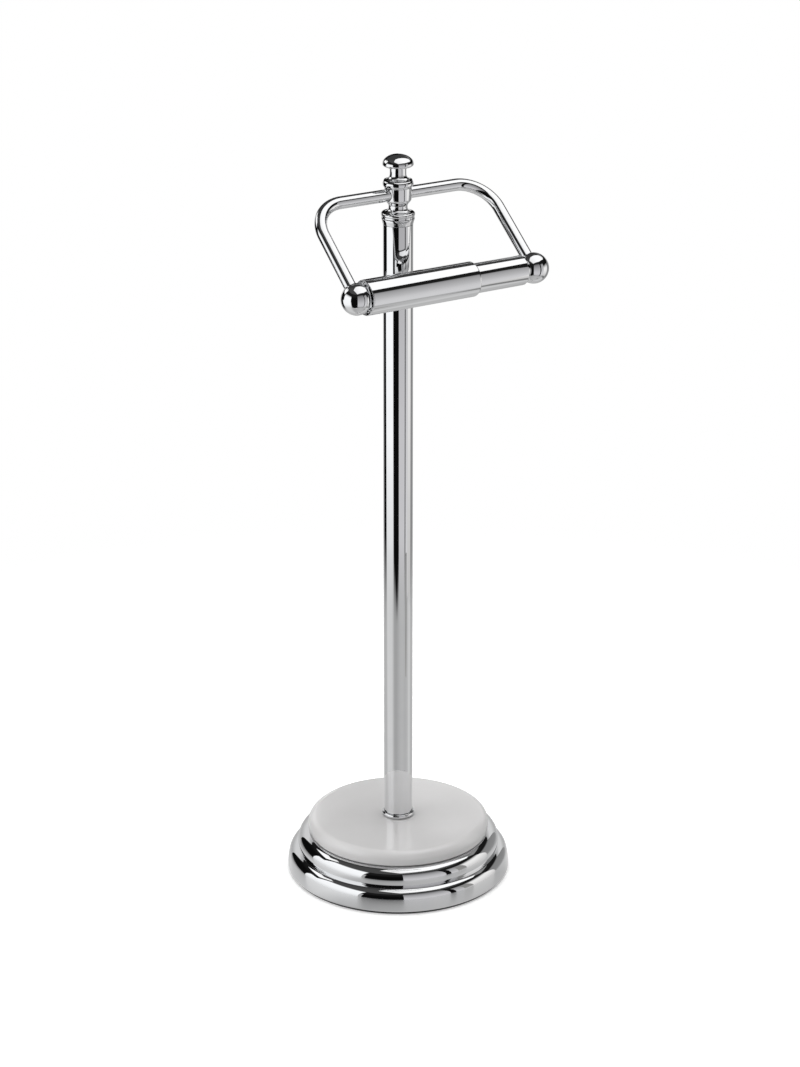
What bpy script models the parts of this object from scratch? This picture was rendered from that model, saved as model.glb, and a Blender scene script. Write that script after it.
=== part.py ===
"""Freestanding toilet paper holder.

A weighted two-step base with a glazed disc, a slim column, a turned finial, a bent wire hoop that is
clamped in the finial, and a spring-loaded telescoping roller between two balls on the hoop's ends.

Metres, +Z up. The origin is the middle of the base on the floor, +X runs along the roller and the
hoop's arms reach forward, to -Y.
"""
import math

import bmesh
import bpy
from mathutils import Matrix, Vector

# Clearances and cuts
GAP = 0.0003
CUT_OVERRUN = 0.002
MERGE_DISTANCE = 0.00001

# Facets round a turned piece, and points on a profile's arcs
BASE_STEPS = 48
WEIGHT_STEPS = 32
COLUMN_STEPS = 28
BORE_STEPS = 24
LONG_ARC_POINTS = 7
ARC_POINTS = 6
SHORT_ARC_POINTS = 4
EDGE_ARC_POINTS = 3

# Base cover: a spun shell of two bulging steps
BASE_RADIUS = 0.0800
COVER_WALL = 0.0010
COVER_EDGE_HEIGHT = 0.0022
COVER_TOP = 0.0300
LOWER_WALL_RADIUS = 0.0425
LOWER_SHOULDER_RADIUS = 0.0078
LOWER_SHOULDER_DEGREES = 12.5
STEP_SETBACK = 0.0074
CREASE_DEPTH = 0.0004
CREASE_WALL = 0.0005
UPPER_ROUND_WIDTH = 0.0089
UPPER_ROUND_RISE = 0.0088

# Pad, weight and glazed disc
PAD_THICKNESS = 0.0019
PAD_INSET = 0.0016
PAD_HOLE_RADIUS = 0.0130
WEIGHT_ROOM = 0.0022
WEIGHT_THICKNESS = 0.0136
WEIGHT_EDGE_ROUND = 0.0015
BOSS_RADIUS = 0.0250
BOSS_FILLET = 0.0040
COUNTERBORE_DEPTH = 0.0120
COUNTERBORE_ROOM = 0.0020
DISC_RADIUS = 0.0651
DISC_THICKNESS = 0.0101
DISC_EDGE_ROUND = 0.0060
DISC_FOOT_ROUND = 0.0010
DISC_RIM_LAND = 0.0080
DISC_HUB_LAND = 0.0060
GASKET_THICKNESS = 0.0009

# Bolt, washers and the stud in the column's head
BOLT_RADIUS = 0.0040
BOLT_LENGTH = 0.0500
BOLT_HEAD_ACROSS_FLATS = 0.0130
BOLT_HEAD_HEIGHT = 0.0053
BOLT_TIP_CHAMFER = 0.0006
WASHER_RADIUS = 0.0090
WASHER_THICKNESS = 0.0016
LOCK_WASHER_RADIUS = 0.0068
LOCK_WASHER_THICKNESS = 0.0020
LOCK_WASHER_SPLIT = 0.0012
STUD_RADIUS = 0.0030
STUD_LENGTH = 0.0300
STUD_CHAMFER = 0.0005

# Column
TUBE_RADIUS = 0.0102
TUBE_WALL = 0.0010
TUBE_LENGTH = 0.4368
FOOT_RING_WIDTH = 0.00125
FOOT_RING_HEIGHT = 0.0030
LOWER_INSERT_LENGTH = 0.0200
UPPER_INSERT_LENGTH = 0.0180
COLLAR_HEIGHT = 0.0042
COLLAR_FOOT_PROUD = 0.0001
COLLAR_FLARE = 0.0010
COLLAR_EDGE_ROUND = 0.0005
COLLAR_SPIGOT_LENGTH = 0.0025

# Finial body: foot, flange, cove, waist, swell, barrel, groove and bead
FLANGE_RADIUS = 0.01155
FLANGE_HEIGHT = 0.0028
FLANGE_BULGE = 0.0014
FINIAL_FOOT_STEP = 0.00045
FINIAL_FOOT_HEIGHT = 0.0009
COVE_HEIGHT = 0.0032
WAIST_RADIUS = 0.00645
WAIST_HEIGHT = 0.0010
SWELL_HEIGHT = 0.0048
BARREL_RADIUS = 0.0091
BARREL_HEIGHT = 0.0074
GROOVE_DEPTH = 0.0004
GROOVE_HEIGHT = 0.0004
BEAD_HALF_HEIGHT = 0.0025
BEAD_BULGE = 0.0017
BEAD_TOP_RISE = 0.0022
BEAD_WEB = 0.0002
STUD_BORE_FLOOR = 0.0020

# Finial knob
FLARE_HEIGHT = 0.0042
NECK_RADIUS = 0.0056
NECK_HEIGHT = 0.0042
KNOB_RADIUS = 0.0106
KNOB_UNDERSIDE_RISE = 0.0023
KNOB_DOME_RISE = 0.0065
SPIGOT_RADIUS = 0.0025
SPIGOT_CHAMFER = 0.0003

# Wire hoop
WIRE_RADIUS = 0.0042
HOOP_TILT_DEGREES = 40.0
HOOP_REACH = 0.0756
HOOP_BACK_SPAN = 0.1394
HOOP_BEND_RADIUS = 0.0240
BALL_SPAN = 0.1410
BEND_POINTS = 10
WIRE_SIDE_RESOLUTION = 4

# Balls on the ends of the hoop
BALL_RADIUS = 0.0105
BALL_SEGMENTS = 24
BALL_RINGS = 14
WIRE_END_SHORT = 0.0035
SOCKET_DEPTH = 0.0050

# Telescoping roller
OUTER_SLEEVE_RADIUS = 0.0118
OUTER_SLEEVE_WALL = 0.0009
SLEEVE_ROOM = 0.00085
INNER_SLEEVE_WALL = 0.0010
BALL_OVERLAP = 0.0050
LIP_ROUND = 0.0010
MOUTH_PLACE = 0.0203
MOUTH_ROLL = 0.0015
SLEEVE_OVERLAP = 0.0303
STOP_FLANGE_WIDTH = 0.0020
SLEEVE_EDGE_ROUND = 0.0004
PIN_RADIUS = 0.0024
PIN_CHAMFER = 0.0005
PLUG_LENGTH = 0.0067
SPRING_SEAT_RADIUS = 0.0055
SPRING_SEAT_LENGTH = 0.0060
SPRING_SEAT_CHAMFER = 0.0005
SPRING_WIRE_RADIUS = 0.0005
SPRING_ROOM = 0.0005
SPRING_END_GAP = 0.0008
SPRING_CURLS = 14
CURL_POINTS = 9
SPRING_SIDE_RESOLUTION = 1

# Heights, stacked from the floor to the top of the knob
WEIGHT_BOTTOM = PAD_THICKNESS + GAP
BOSS_TOP = COVER_TOP - COVER_WALL - GAP
DISC_BOTTOM = COVER_TOP + GAP
DISC_TOP = DISC_BOTTOM + DISC_THICKNESS
TUBE_BOTTOM = DISC_TOP + GAP
TUBE_TOP = TUBE_BOTTOM + TUBE_LENGTH
COLLAR_BOTTOM = TUBE_TOP + GAP
COLLAR_TOP = COLLAR_BOTTOM + COLLAR_HEIGHT
FINIAL_BOTTOM = COLLAR_TOP + GAP
WAIST_BOTTOM = FINIAL_BOTTOM + FINIAL_FOOT_HEIGHT + FLANGE_HEIGHT + COVE_HEIGHT
BARREL_BOTTOM = WAIST_BOTTOM + WAIST_HEIGHT + SWELL_HEIGHT
BEAD_BOTTOM = BARREL_BOTTOM + BARREL_HEIGHT + GROOVE_HEIGHT
BEAD_MIDDLE = BEAD_BOTTOM + BEAD_HALF_HEIGHT
FINIAL_TOP = BEAD_MIDDLE + BEAD_TOP_RISE
KNOB_BOTTOM = FINIAL_TOP + GAP

# Radii that follow from their neighbours
UPPER_STEP_RADIUS = BASE_RADIUS - STEP_SETBACK
CREASE_RADIUS = UPPER_STEP_RADIUS - CREASE_DEPTH
COVER_FLAT_RADIUS = UPPER_STEP_RADIUS - UPPER_ROUND_WIDTH
BOLT_HOLE_RADIUS = BOLT_RADIUS + GAP
STUD_HOLE_RADIUS = STUD_RADIUS + GAP
INSERT_RADIUS = TUBE_RADIUS - TUBE_WALL - GAP
WIRE_BORE_RADIUS = WIRE_RADIUS + GAP
GROOVE_RADIUS = BARREL_RADIUS - GROOVE_DEPTH
BEAD_TOP_RADIUS = GROOVE_RADIUS + BEAD_BULGE * math.sqrt(1 - (BEAD_TOP_RISE / BEAD_HALF_HEIGHT) ** 2)
OUTER_BORE_RADIUS = OUTER_SLEEVE_RADIUS - OUTER_SLEEVE_WALL
INNER_SLEEVE_RADIUS = OUTER_BORE_RADIUS - SLEEVE_ROOM
INNER_BORE_RADIUS = INNER_SLEEVE_RADIUS - INNER_SLEEVE_WALL
SPRING_RADIUS = SPRING_SEAT_RADIUS + SPRING_ROOM + SPRING_WIRE_RADIUS

# The hoop's back run passes through the barrel just under the bead; its arms end in the balls
HOOP_HEIGHT = BEAD_BOTTOM - BEAD_WEB - WIRE_BORE_RADIUS
HOOP_TILT = math.radians(HOOP_TILT_DEGREES)
ROLLER_FORWARD = HOOP_REACH * math.cos(HOOP_TILT)
ROLLER_HEIGHT = HOOP_HEIGHT - HOOP_REACH * math.sin(HOOP_TILT)

# Places along the roller, from its middle
BALL_FACE = BALL_SPAN / 2 - BALL_RADIUS
CAP_FACE = BALL_FACE - GAP
PIN_LENGTH = SOCKET_DEPTH
INNER_TAIL = MOUTH_PLACE - SLEEVE_OVERLAP

COLLECTION_NAME = "freestanding_toilet_paper_holder"
CUTTER_COLLECTION_NAME = "cutters"


def clear_scene():
    """Remove whatever the open file holds."""
    for obj in list(bpy.data.objects):
        bpy.data.objects.remove(obj, do_unlink=True)
    for collection in list(bpy.data.collections):
        bpy.data.collections.remove(collection)


def new_collection(name):
    collection = bpy.data.collections.new(name)
    bpy.context.scene.collection.children.link(collection)
    return collection


def principled(name, color, metallic, roughness):
    """A material with one Principled BSDF."""
    material = bpy.data.materials.new(name)
    material.use_nodes = True
    shader = material.node_tree.nodes["Principled BSDF"]
    shader.inputs["Base Color"].default_value = (*color, 1.0)
    shader.inputs["Metallic"].default_value = metallic
    shader.inputs["Roughness"].default_value = roughness
    material.diffuse_color = (*color, 1.0)
    return material


def chrome():
    return bpy.data.materials.get("chrome") or principled("chrome", (0.84, 0.85, 0.86), 1.0, 0.06)


def zinc_steel():
    return bpy.data.materials.get("zinc_steel") or principled("zinc_steel", (0.66, 0.67, 0.68), 1.0, 0.35)


def arc(centre, width, rise, start, end, points):
    """Points on an ellipse about centre, from start to end degrees: 0 is outward and 90 is up."""
    radius, height = centre
    angles = [math.radians(start + (end - start) * i / (points - 1)) for i in range(points)]
    return [(radius + width * math.cos(a), height + rise * math.sin(a)) for a in angles]


def add_object(name, data, material, place=(0, 0, 0), parent=None):
    obj = bpy.data.objects.new(name, data)
    obj.location = place
    obj.parent = parent
    data.materials.append(material)
    bpy.data.collections[COLLECTION_NAME].objects.link(obj)
    return obj


def turned(name, outline, closed, steps, material, place=(0, 0, 0), parent=None):
    """Turn an outline of (radius, height) points, which runs down its outer side, about Z."""
    mesh = bpy.data.meshes.new(name)
    edges = [(i, i + 1) for i in range(len(outline) - 1)]
    if closed:
        edges.append((len(outline) - 1, 0))
    mesh.from_pydata([(radius, 0, height) for radius, height in outline], edges, [])
    obj = add_object(name, mesh, material, place, parent)
    screw = obj.modifiers.new("turn", "SCREW")
    screw.axis = "Z"
    screw.steps = steps
    screw.render_steps = steps
    screw.use_merge_vertices = True
    screw.merge_threshold = MERGE_DISTANCE
    screw.use_smooth_shade = True
    return obj


def ring_outline(inner, outer, bottom, top):
    """A plain ring's section."""
    return [(outer, top), (outer, bottom), (inner, bottom), (inner, top)]


def rod_cutter(name, radius, start, end, steps=BORE_STEPS):
    """A round cutter from start to end."""
    start = Vector(start)
    end = Vector(end)
    mesh = bpy.data.meshes.new(name)
    shape = bmesh.new()
    bmesh.ops.create_cone(
        shape, cap_ends=True, segments=steps, radius1=radius, radius2=radius, depth=(end - start).length)
    shape.to_mesh(mesh)
    shape.free()
    obj = bpy.data.objects.new(name, mesh)
    turn = (end - start).to_track_quat("Z", "Y").to_matrix().to_4x4()
    obj.matrix_world = Matrix.Translation((start + end) / 2) @ turn
    return hide_cutter(obj)


def hide_cutter(obj):
    obj.hide_render = True
    obj.display_type = "WIRE"
    bpy.data.collections[CUTTER_COLLECTION_NAME].objects.link(obj)
    return obj


def cut(obj, cutter, operation="DIFFERENCE"):
    boolean = obj.modifiers.new(cutter.name, "BOOLEAN")
    boolean.operation = operation
    boolean.solver = "EXACT"
    boolean.object = cutter


def shade_round(obj):
    """Smooth shading on the rounds of a mesh, with its corners kept sharp."""
    obj.data.shade_smooth()
    obj.data.set_sharp_from_angle(angle=math.radians(35))


def shoulder_centre():
    """Centre of the lower step's shoulder arc, which runs on from the top of the arched wall."""
    reach = LOWER_WALL_RADIUS - LOWER_SHOULDER_RADIUS
    angle = math.radians(LOWER_SHOULDER_DEGREES)
    radius = BASE_RADIUS - LOWER_WALL_RADIUS + reach * math.cos(angle)
    return radius, COVER_EDGE_HEIGHT + reach * math.sin(angle)


def base_cover():
    """Spun shell: flat top, two bulging steps with a crease between, and an open bottom."""
    shoulder = shoulder_centre()
    wall_centre = (BASE_RADIUS - LOWER_WALL_RADIUS, COVER_EDGE_HEIGHT)
    crease_angle = math.acos((CREASE_RADIUS - shoulder[0]) / LOWER_SHOULDER_RADIUS)
    crease_top = shoulder[1] + LOWER_SHOULDER_RADIUS * math.sin(crease_angle) + CREASE_WALL
    upper_centre = (COVER_FLAT_RADIUS, COVER_TOP - UPPER_ROUND_RISE)
    tuck_angle = math.acos((CREASE_RADIUS - COVER_FLAT_RADIUS) / UPPER_ROUND_WIDTH)
    tuck_rise = (upper_centre[1] - crease_top) / math.sin(tuck_angle)
    outline = [(BOLT_HOLE_RADIUS, COVER_TOP)]
    outline += arc(upper_centre, UPPER_ROUND_WIDTH, UPPER_ROUND_RISE, 90, 0, ARC_POINTS)
    outline += arc(upper_centre, UPPER_ROUND_WIDTH, tuck_rise, 0, -math.degrees(tuck_angle),
                   SHORT_ARC_POINTS)[1:]
    outline += arc(shoulder, LOWER_SHOULDER_RADIUS, LOWER_SHOULDER_RADIUS, math.degrees(crease_angle),
                   LOWER_SHOULDER_DEGREES, ARC_POINTS)
    outline += arc(wall_centre, LOWER_WALL_RADIUS, LOWER_WALL_RADIUS, LOWER_SHOULDER_DEGREES, 0,
                   EDGE_ARC_POINTS)[1:]
    cover = turned("base_cover", outline, False, BASE_STEPS, chrome())
    wall = cover.modifiers.new("wall", "SOLIDIFY")
    wall.thickness = COVER_WALL
    wall.offset = -1.0
    wall.use_even_offset = True
    return cover


def foot_pad():
    """Rubber sheet glued under the weight, with a hole for the bolt's head."""
    rubber = principled("black_rubber", (0.02, 0.02, 0.02), 0.0, 0.7)
    outline = ring_outline(PAD_HOLE_RADIUS, BASE_RADIUS - PAD_INSET, 0, PAD_THICKNESS)
    return turned("foot_pad", outline, True, BASE_STEPS, rubber)


def base_weight():
    """Cast iron disc with a boss that carries the cover's flat top, counterbored for the bolt."""
    iron = principled("cast_iron", (0.10, 0.10, 0.105), 0.6, 0.65)
    radius = CREASE_RADIUS - COVER_WALL - WEIGHT_ROOM
    shelf = WEIGHT_BOTTOM + WEIGHT_THICKNESS
    counterbore = WASHER_RADIUS + COUNTERBORE_ROOM
    ceiling = WEIGHT_BOTTOM + COUNTERBORE_DEPTH
    fillet_centre = (BOSS_RADIUS + BOSS_FILLET, shelf + BOSS_FILLET)
    edge_centre = (radius - WEIGHT_EDGE_ROUND, shelf - WEIGHT_EDGE_ROUND)
    outline = [(BOSS_RADIUS, BOSS_TOP)]
    outline += arc(fillet_centre, BOSS_FILLET, BOSS_FILLET, 180, 270, SHORT_ARC_POINTS)
    outline += arc(edge_centre, WEIGHT_EDGE_ROUND, WEIGHT_EDGE_ROUND, 90, 0, SHORT_ARC_POINTS)
    outline += [(radius, WEIGHT_BOTTOM), (counterbore, WEIGHT_BOTTOM), (counterbore, ceiling)]
    outline += [(BOLT_HOLE_RADIUS, ceiling), (BOLT_HOLE_RADIUS, BOSS_TOP)]
    return turned("base_weight", outline, True, WEIGHT_STEPS, iron)


def base_disc():
    """Glazed disc with a rounded rim; the gasket lies in a shallow recess under it."""
    glaze = principled("white_glaze", (0.86, 0.86, 0.84), 0.0, 0.12)
    recess_top = DISC_BOTTOM + GASKET_THICKNESS + GAP
    edge_centre = (DISC_RADIUS - DISC_EDGE_ROUND, DISC_TOP - DISC_EDGE_ROUND)
    foot_centre = (DISC_RADIUS - DISC_FOOT_ROUND, DISC_BOTTOM + DISC_FOOT_ROUND)
    hub_radius = BOLT_HOLE_RADIUS + DISC_HUB_LAND
    rim_radius = DISC_RADIUS - DISC_RIM_LAND
    outline = [(BOLT_HOLE_RADIUS, DISC_TOP)]
    outline += arc(edge_centre, DISC_EDGE_ROUND, DISC_EDGE_ROUND, 90, 0, ARC_POINTS)
    outline += arc(foot_centre, DISC_FOOT_ROUND, DISC_FOOT_ROUND, 0, -90, SHORT_ARC_POINTS)
    outline += [(rim_radius, DISC_BOTTOM), (rim_radius, recess_top)]
    outline += [(hub_radius, recess_top), (hub_radius, DISC_BOTTOM), (BOLT_HOLE_RADIUS, DISC_BOTTOM)]
    return turned("base_disc", outline, True, BASE_STEPS, glaze)


def disc_gasket():
    foam = principled("foam", (0.78, 0.78, 0.76), 0.0, 0.9)
    inner = BOLT_HOLE_RADIUS + DISC_HUB_LAND + GAP
    outer = DISC_RADIUS - DISC_RIM_LAND - GAP
    outline = ring_outline(inner, outer, DISC_BOTTOM, DISC_BOTTOM + GASKET_THICKNESS)
    return turned("disc_gasket", outline, True, WEIGHT_STEPS, foam)


def base_bolt():
    """Hexagon bolt from the counterbore up through the weight, cover and disc into the column."""
    washer_top = WEIGHT_BOTTOM + COUNTERBORE_DEPTH - GAP
    lock_washer_top = washer_top - WASHER_THICKNESS - GAP
    head_top = lock_washer_top - LOCK_WASHER_THICKNESS - GAP
    tip = head_top + BOLT_LENGTH
    head_middle = head_top - BOLT_HEAD_HEIGHT / 2
    outline = [(0, tip), (BOLT_RADIUS - BOLT_TIP_CHAMFER, tip), (BOLT_RADIUS, tip - BOLT_TIP_CHAMFER)]
    outline += [(BOLT_RADIUS, head_middle), (0, head_middle)]
    bolt = turned("base_bolt", outline, False, BORE_STEPS, zinc_steel())
    corner_radius = BOLT_HEAD_ACROSS_FLATS / math.sqrt(3)
    head = rod_cutter("bolt_head", corner_radius, (0, 0, head_top - BOLT_HEAD_HEIGHT), (0, 0, head_top), 6)
    cut(bolt, head, "UNION")
    washer_outline = ring_outline(BOLT_HOLE_RADIUS, WASHER_RADIUS, washer_top - WASHER_THICKNESS, washer_top)
    turned("bolt_washer", washer_outline, True, BORE_STEPS, zinc_steel())
    lock_outline = ring_outline(BOLT_HOLE_RADIUS, LOCK_WASHER_RADIUS, lock_washer_top - LOCK_WASHER_THICKNESS,
                                lock_washer_top)
    lock_washer = turned("lock_washer", lock_outline, True, BORE_STEPS, zinc_steel())
    cut(lock_washer, split_cutter(lock_washer_top))
    return bolt


def split_cutter(lock_washer_top):
    """A slot through one side of the lock washer."""
    reach = LOCK_WASHER_RADIUS + CUT_OVERRUN
    height = LOCK_WASHER_THICKNESS + 2 * CUT_OVERRUN
    size = Matrix.Diagonal((LOCK_WASHER_SPLIT, reach, height, 1))
    middle = Vector((0, reach / 2, lock_washer_top - LOCK_WASHER_THICKNESS / 2))
    mesh = bpy.data.meshes.new("washer_split")
    shape = bmesh.new()
    bmesh.ops.create_cube(shape, size=1, matrix=Matrix.Translation(middle) @ size)
    shape.to_mesh(mesh)
    shape.free()
    return hide_cutter(bpy.data.objects.new("washer_split", mesh))


def column():
    """Tube on the disc, its foot ring, the threaded plugs in its ends and the collar on its head."""
    ring_inner = TUBE_RADIUS + GAP
    ring_middle = TUBE_BOTTOM + FOOT_RING_HEIGHT / 2
    turned("column_tube", ring_outline(TUBE_RADIUS - TUBE_WALL, TUBE_RADIUS, TUBE_BOTTOM, TUBE_TOP),
           True, COLUMN_STEPS, chrome())
    foot_outline = arc((ring_inner, ring_middle), FOOT_RING_WIDTH, FOOT_RING_HEIGHT / 2, 90, -90, ARC_POINTS)
    turned("column_foot_ring", foot_outline, True, COLUMN_STEPS, chrome())
    lower_outline = ring_outline(BOLT_HOLE_RADIUS, INSERT_RADIUS, TUBE_BOTTOM,
                                 TUBE_BOTTOM + LOWER_INSERT_LENGTH)
    turned("column_lower_insert", lower_outline, True, COLUMN_STEPS, zinc_steel())
    upper_top = COLLAR_BOTTOM - COLLAR_SPIGOT_LENGTH - GAP
    upper_outline = ring_outline(STUD_HOLE_RADIUS, INSERT_RADIUS, upper_top - UPPER_INSERT_LENGTH, upper_top)
    turned("column_upper_insert", upper_outline, True, COLUMN_STEPS, zinc_steel())


def column_collar():
    """Tapered ring on the tube's end, with a spigot that locates it in the tube."""
    foot_radius = TUBE_RADIUS + COLLAR_FOOT_PROUD
    wide_radius = foot_radius + COLLAR_FLARE
    edge_centre = (wide_radius - COLLAR_EDGE_ROUND, COLLAR_TOP - COLLAR_EDGE_ROUND)
    taper_middle = ((foot_radius + wide_radius) / 2, COLLAR_BOTTOM + COLLAR_HEIGHT / 2)
    outline = [(STUD_HOLE_RADIUS, COLLAR_TOP)]
    outline += arc(edge_centre, COLLAR_EDGE_ROUND, COLLAR_EDGE_ROUND, 90, 0, SHORT_ARC_POINTS)
    outline += [taper_middle, (foot_radius, COLLAR_BOTTOM), (INSERT_RADIUS, COLLAR_BOTTOM)]
    outline += [(INSERT_RADIUS, COLLAR_BOTTOM - COLLAR_SPIGOT_LENGTH)]
    outline += [(STUD_HOLE_RADIUS, COLLAR_BOTTOM - COLLAR_SPIGOT_LENGTH)]
    return turned("column_collar", outline, True, COLUMN_STEPS, chrome())


def stud_bore_top():
    """Ceiling of the finial's blind bore, a floor's thickness under the bore for the wire."""
    return HOOP_HEIGHT - WIRE_BORE_RADIUS - STUD_BORE_FLOOR


def finial_stud():
    top = stud_bore_top() - GAP
    bottom = top - STUD_LENGTH
    slim = STUD_RADIUS - STUD_CHAMFER
    outline = [(0, top), (slim, top), (STUD_RADIUS, top - STUD_CHAMFER)]
    outline += [(STUD_RADIUS, bottom + STUD_CHAMFER), (slim, bottom), (0, bottom)]
    return turned("finial_stud", outline, False, BORE_STEPS, zinc_steel())


def swell(points):
    """Smooth rise from the barrel's foot down to the waist."""
    shares = [i / (points - 1) for i in range(points)]
    growth = BARREL_RADIUS - WAIST_RADIUS
    return [(BARREL_RADIUS - growth * (1 - math.cos(math.pi * s)) / 2, BARREL_BOTTOM - SWELL_HEIGHT * s)
            for s in shares]


def finial_body():
    """One turned piece: foot, flange, cove, waist, swelling barrel, groove and bead.

    The wire passes through the barrel, the stud comes from below and the knob's spigot from above.
    """
    foot_radius = FLANGE_RADIUS - FINIAL_FOOT_STEP
    foot_top = FINIAL_BOTTOM + FINIAL_FOOT_HEIGHT
    flange_top = foot_top + FLANGE_HEIGHT
    flange_neck = FLANGE_RADIUS - FLANGE_BULGE
    cut_angle = math.degrees(math.asin(BEAD_TOP_RISE / BEAD_HALF_HEIGHT))
    barrel_top = BARREL_BOTTOM + BARREL_HEIGHT
    outline = [(0, FINIAL_TOP)]
    outline += arc((GROOVE_RADIUS, BEAD_MIDDLE), BEAD_BULGE, BEAD_HALF_HEIGHT, cut_angle, -90,
                   LONG_ARC_POINTS)
    outline += [(BARREL_RADIUS, barrel_top)]
    outline += swell(LONG_ARC_POINTS)
    outline += arc((flange_neck, WAIST_BOTTOM), flange_neck - WAIST_RADIUS, COVE_HEIGHT, 180, 270, ARC_POINTS)
    outline += arc((flange_neck, flange_top - FLANGE_HEIGHT / 2), FLANGE_BULGE, FLANGE_HEIGHT / 2, 65, -65,
                   ARC_POINTS)
    outline += [(foot_radius, foot_top), (foot_radius, FINIAL_BOTTOM), (0, FINIAL_BOTTOM)]
    body = turned("finial_body", outline, False, COLUMN_STEPS, chrome())
    side = BARREL_RADIUS + CUT_OVERRUN
    cut(body, rod_cutter("wire_bore", WIRE_BORE_RADIUS, (-side, 0, HOOP_HEIGHT), (side, 0, HOOP_HEIGHT)))
    cut(body, rod_cutter("stud_bore", STUD_HOLE_RADIUS, (0, 0, FINIAL_BOTTOM - CUT_OVERRUN),
                         (0, 0, stud_bore_top())))
    cut(body, rod_cutter("spigot_bore", SPIGOT_RADIUS + GAP, (0, 0, HOOP_HEIGHT),
                         (0, 0, FINIAL_TOP + CUT_OVERRUN)))
    return body


def finial_knob():
    """Mushroom head, neck and flare, with the spigot that clamps the wire."""
    neck_bottom = KNOB_BOTTOM + FLARE_HEIGHT
    neck_top = neck_bottom + NECK_HEIGHT
    head_height = neck_top + KNOB_UNDERSIDE_RISE
    spigot_end = HOOP_HEIGHT + WIRE_RADIUS + GAP
    flare_width = BEAD_TOP_RADIUS - NECK_RADIUS
    outline = arc((0, head_height), KNOB_RADIUS, KNOB_DOME_RISE, 90, 0, LONG_ARC_POINTS)
    outline += arc((NECK_RADIUS, head_height), KNOB_RADIUS - NECK_RADIUS, KNOB_UNDERSIDE_RISE, 0, -90,
                   ARC_POINTS)[1:]
    outline += arc((BEAD_TOP_RADIUS, neck_bottom), flare_width, FLARE_HEIGHT, 180, 270, ARC_POINTS)
    outline += [(SPIGOT_RADIUS, KNOB_BOTTOM), (SPIGOT_RADIUS, spigot_end + SPIGOT_CHAMFER)]
    outline += [(SPIGOT_RADIUS - SPIGOT_CHAMFER, spigot_end), (0, spigot_end)]
    return turned("finial_knob", outline, False, COLUMN_STEPS, chrome())


def on_hoop(across, along):
    """A point in the hoop's tilted plane: across from its middle, and along its arms."""
    return Vector((across, -along * math.cos(HOOP_TILT), HOOP_HEIGHT - along * math.sin(HOOP_TILT)))


def hoop_corner(side):
    return on_hoop(side * HOOP_BACK_SPAN / 2, 0)


def ball_centre(side):
    return on_hoop(side * BALL_SPAN / 2, HOOP_REACH)


def arm_direction(side):
    """From a ball up its arm."""
    return (hoop_corner(side) - ball_centre(side)).normalized()


def bend(corner, before, after, radius, points):
    """A round bend between two straight runs that meet at corner."""
    towards = (before - corner).normalized()
    away = (after - corner).normalized()
    half_angle = towards.angle(away) / 2
    middle = corner + (towards + away).normalized() * (radius / math.sin(half_angle))
    start = corner + towards * (radius / math.tan(half_angle)) - middle
    end = corner + away * (radius / math.tan(half_angle)) - middle
    sweep = start.angle(end)
    shares = [i / (points - 1) for i in range(points)]
    return [middle + (start * math.sin(sweep * (1 - s)) + end * math.sin(sweep * s)) / math.sin(sweep)
            for s in shares]


def poly_curve(name, route, radius, side_resolution):
    """A round wire along a route of points."""
    curve = bpy.data.curves.new(name, "CURVE")
    curve.dimensions = "3D"
    curve.bevel_depth = radius
    curve.bevel_resolution = side_resolution
    curve.use_fill_caps = True
    spline = curve.splines.new("POLY")
    spline.points.add(len(route) - 1)
    for point, place in zip(spline.points, route):
        point.co = (*place, 1)
    spline.use_smooth = True
    return curve


def hoop_wire():
    """One rod: the back run through the finial, two bends, and two arms down to the balls."""
    ends = {side: ball_centre(side) + arm_direction(side) * WIRE_END_SHORT for side in (-1, 1)}
    left, right = hoop_corner(-1), hoop_corner(1)
    route = [ends[-1]]
    route += bend(left, ends[-1], right, HOOP_BEND_RADIUS, BEND_POINTS)
    route += bend(right, left, ends[1], HOOP_BEND_RADIUS, BEND_POINTS)
    route += [ends[1]]
    curve = poly_curve("hoop_wire", route, WIRE_RADIUS, WIRE_SIDE_RESOLUTION)
    return add_object("hoop_wire", curve, chrome())


def ball(name, side):
    """Ball on an arm's end: a bore for the wire and, facing the roller, a socket for its pin."""
    mesh = bpy.data.meshes.new(name)
    shape = bmesh.new()
    poles_along_x = Matrix.Rotation(math.pi / 2, 4, "Y")
    bmesh.ops.create_uvsphere(shape, u_segments=BALL_SEGMENTS, v_segments=BALL_RINGS, radius=BALL_RADIUS,
                              matrix=poles_along_x)
    shape.to_mesh(mesh)
    shape.free()
    centre = ball_centre(side)
    obj = add_object(name, mesh, chrome(), centre)
    shade_round(obj)
    arm = arm_direction(side)
    outside = BALL_RADIUS + CUT_OVERRUN
    cut(obj, rod_cutter(name + "_wire_bore", WIRE_BORE_RADIUS, centre + arm * (WIRE_END_SHORT - GAP),
                        centre + arm * outside))
    inward = Vector((-side, 0, 0))
    socket_floor = centre + inward * (BALL_RADIUS - SOCKET_DEPTH)
    cut(obj, rod_cutter(name + "_pin_socket", PIN_RADIUS + GAP, socket_floor, centre + inward * outside))
    return obj


def roller_frame(name, parent):
    """An empty on the roller's axis, whose Z runs along the roller to +X."""
    frame = bpy.data.objects.new(name, None)
    bpy.data.collections[COLLECTION_NAME].objects.link(frame)
    if parent:
        frame.parent = parent
    else:
        frame.location = (0, -ROLLER_FORWARD, ROLLER_HEIGHT)
        frame.rotation_euler = (0, math.pi / 2, 0)
    return frame


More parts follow.
